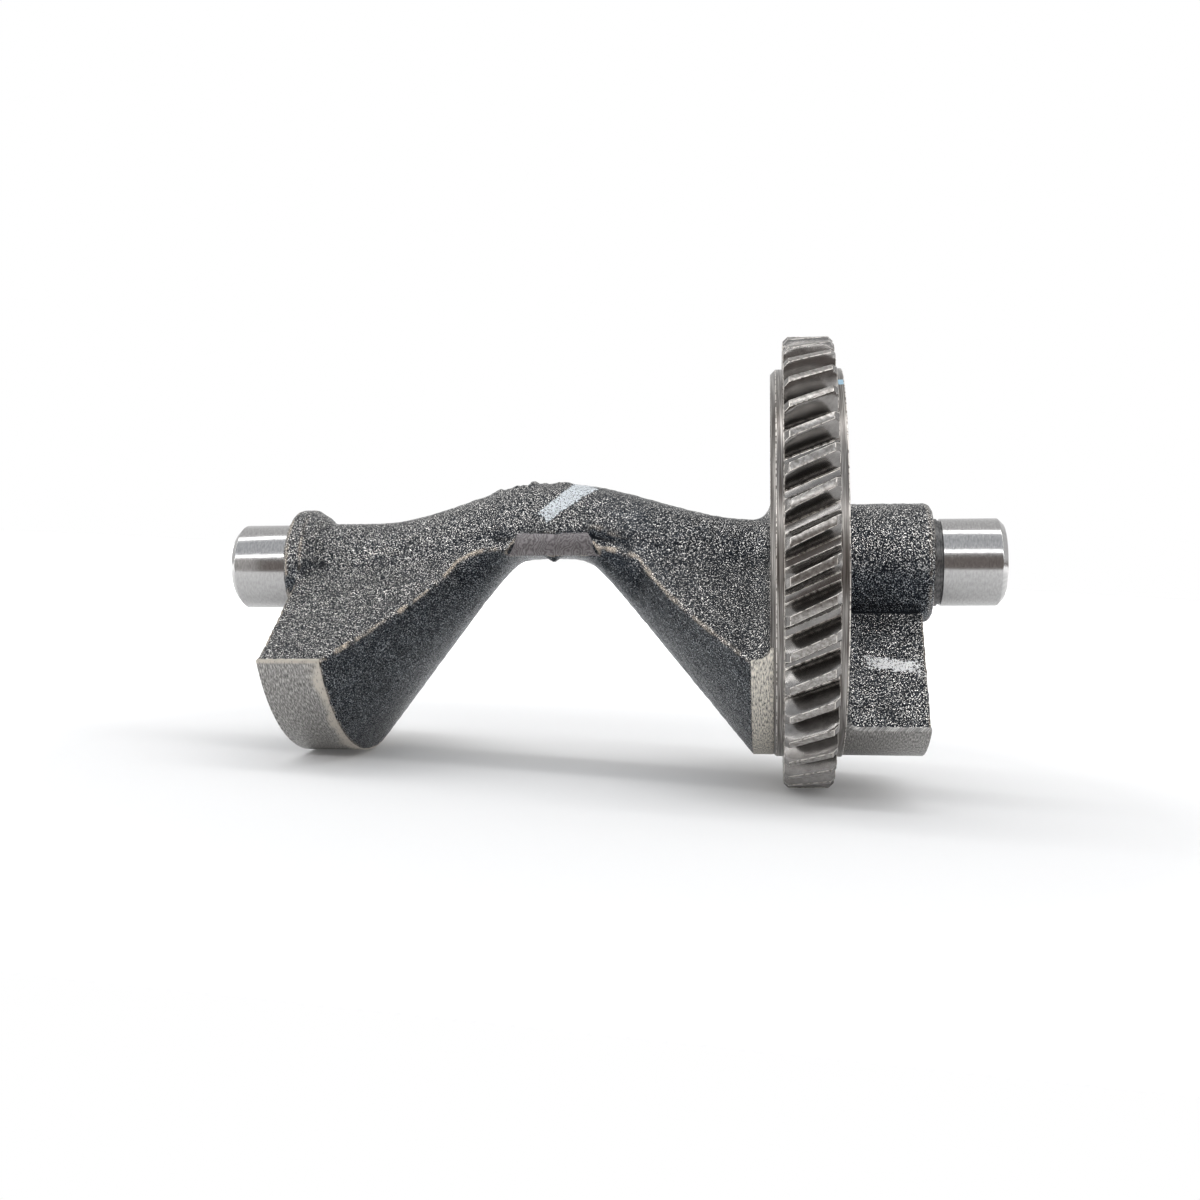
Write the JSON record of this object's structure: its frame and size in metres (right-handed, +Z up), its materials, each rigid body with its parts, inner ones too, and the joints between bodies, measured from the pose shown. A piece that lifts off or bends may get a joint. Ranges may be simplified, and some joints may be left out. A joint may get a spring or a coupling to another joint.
{
  "type": "balance shaft",
  "caption": "Cast balance shaft of a small single-cylinder engine: offset counterweights joined by an arched crown, integral helical gear and ground bearing journals.",
  "frame": {"origin": "on the shaft axis, where the ground surface of the plain end's journal starts", "axes": "+X along the shaft towards the gear end, +Z up, with the counterweights hanging towards -Z"},
  "size_m": [0.1346, 0.0774, 0.0774],
  "materials": {
    "cast_iron": "coarse sand casting, with ground journals, turned rims and cut teeth"
  },
  "bodies": {
    "root": {"balance_shaft": "cast_iron"}
  },
  "joints": []
}
